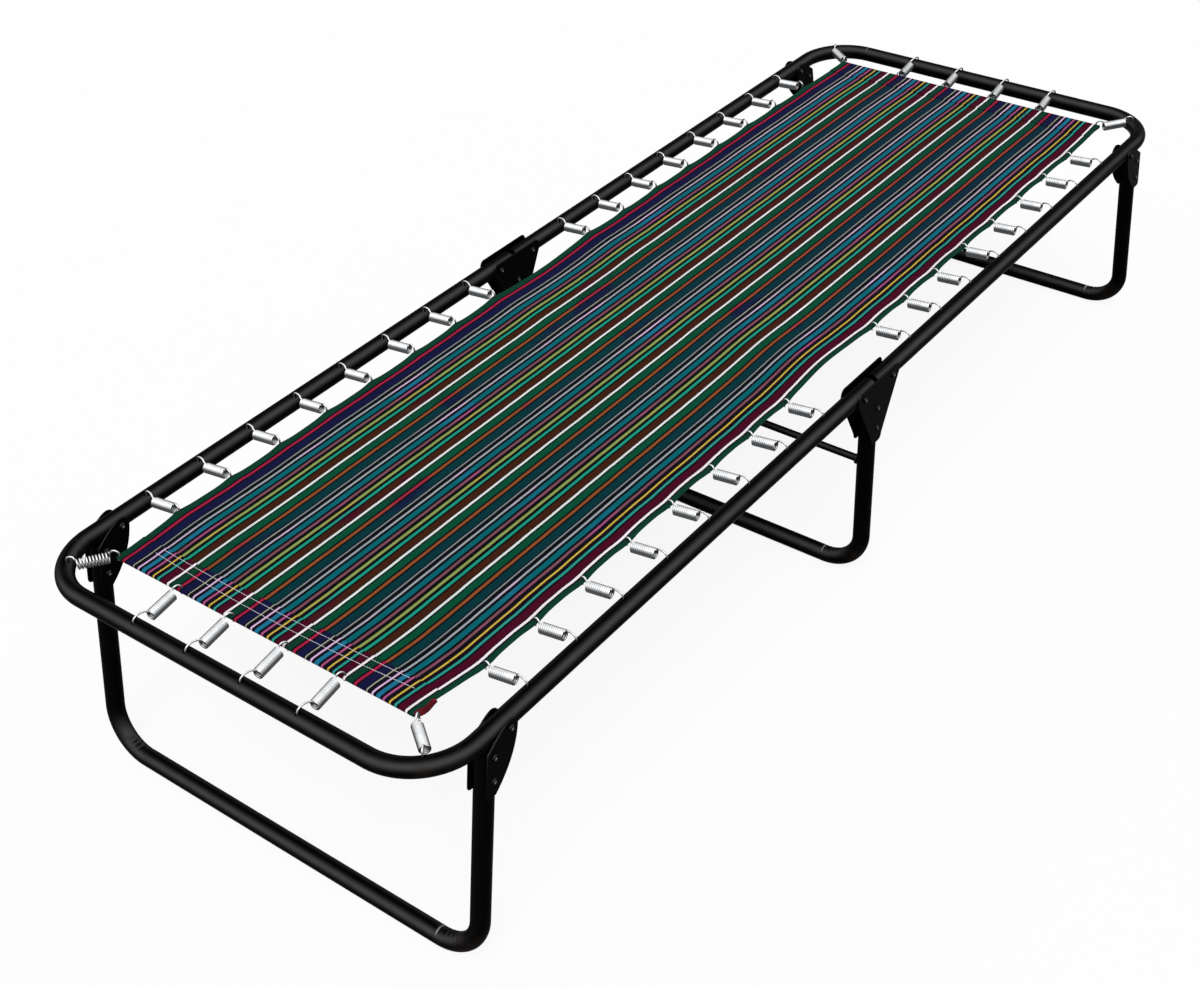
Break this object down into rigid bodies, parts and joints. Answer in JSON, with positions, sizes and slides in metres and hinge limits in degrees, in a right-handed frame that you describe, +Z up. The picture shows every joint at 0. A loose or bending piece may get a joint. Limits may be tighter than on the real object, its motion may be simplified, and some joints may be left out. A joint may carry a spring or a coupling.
{
  "type": "folding camping cot",
  "caption": "Folding camping cot: a hinged tube frame on three U legs, with a striped canvas hung inside it on wire springs.",
  "frame": {"origin": "on the floor under the middle of the frame", "axes": "+X along the bed from the foot end to the head end, +Y to the left side, +Z up"},
  "size_m": [1.8992, 0.6742, 0.3597],
  "materials": {
    "frame_paint": "satin black paint",
    "spring_wire": "bright zinc plate",
    "canvas": "woven stripes"
  },
  "bodies": {
    "mid_stand": {"mid_leg_tube": "frame_paint", "mid_leg_crossbar": "frame_paint", "mid_bracket_left": "frame_paint", "mid_bracket_right": "frame_paint", "hinge_rivet_foot_left": "frame_paint", "hinge_rivet_foot_right": "frame_paint", "hinge_rivet_head_left": "frame_paint", "hinge_rivet_head_right": "frame_paint"},
    "foot_frame": {"foot_frame_tube": "frame_paint", "canvas_foot_half": "canvas", "end_springs_foot": "spring_wire", "corner_spring_foot_left": "spring_wire", "corner_spring_foot_right": "spring_wire", "foot_pivot_rivet_left": "frame_paint", "foot_pivot_rivet_right": "frame_paint", "side_spring_foot_left_1": "spring_wire", "side_spring_foot_left_2": "spring_wire", "side_spring_foot_left_3": "spring_wire", "side_spring_foot_left_4": "spring_wire", "side_spring_foot_left_5": "spring_wire", "side_spring_foot_left_6": "spring_wire", "side_spring_foot_left_7": "spring_wire", "side_spring_foot_left_8": "spring_wire", "side_spring_foot_right_1": "spring_wire", "side_spring_foot_right_2": "spring_wire", "side_spring_foot_right_3": "spring_wire", "side_spring_foot_right_4": "spring_wire", "side_spring_foot_right_5": "spring_wire", "side_spring_foot_right_6": "spring_wire", "side_spring_foot_right_7": "spring_wire", "side_spring_foot_right_8": "spring_wire"},
    "head_frame": {"head_frame_tube": "frame_paint", "canvas_head_half": "canvas", "end_springs_head": "spring_wire", "corner_spring_head_left": "spring_wire", "corner_spring_head_right": "spring_wire", "head_pivot_rivet_left": "frame_paint", "head_pivot_rivet_right": "frame_paint", "side_spring_head_left_1": "spring_wire", "side_spring_head_left_2": "spring_wire", "side_spring_head_left_3": "spring_wire", "side_spring_head_left_4": "spring_wire", "side_spring_head_left_5": "spring_wire", "side_spring_head_left_6": "spring_wire", "side_spring_head_left_7": "spring_wire", "side_spring_head_left_8": "spring_wire", "side_spring_head_right_1": "spring_wire", "side_spring_head_right_2": "spring_wire", "side_spring_head_right_3": "spring_wire", "side_spring_head_right_4": "spring_wire", "side_spring_head_right_5": "spring_wire", "side_spring_head_right_6": "spring_wire", "side_spring_head_right_7": "spring_wire", "side_spring_head_right_8": "spring_wire"},
    "foot_leg": {"foot_leg_tube": "frame_paint", "foot_bracket_left": "frame_paint", "foot_bracket_right": "frame_paint"},
    "head_leg": {"head_leg_tube": "frame_paint", "head_bracket_left": "frame_paint", "head_bracket_right": "frame_paint"}
  },
  "joints": [
    {"name": "foot_half_fold", "type": "hinge", "parent": "mid_stand", "child": "foot_frame", "pos_m": [-0.0515, 0, 0.3375], "axis": [0, 1, 0], "range_deg": [0, 90]},
    {"name": "head_half_fold", "type": "hinge", "parent": "mid_stand", "child": "head_frame", "pos_m": [0.0245, 0, 0.3375], "axis": [0, -1, 0], "range_deg": [0, 90]},
    {"name": "foot_leg_fold", "type": "hinge", "parent": "foot_frame", "child": "foot_leg", "pos_m": [-0.8125, 0, 0.3355], "axis": [0, -1, 0], "range_deg": [0, 98.9]},
    {"name": "head_leg_fold", "type": "hinge", "parent": "head_frame", "child": "head_leg", "pos_m": [0.8125, 0, 0.3355], "axis": [0, 1, 0], "range_deg": [0, 98.9]}
  ]
}
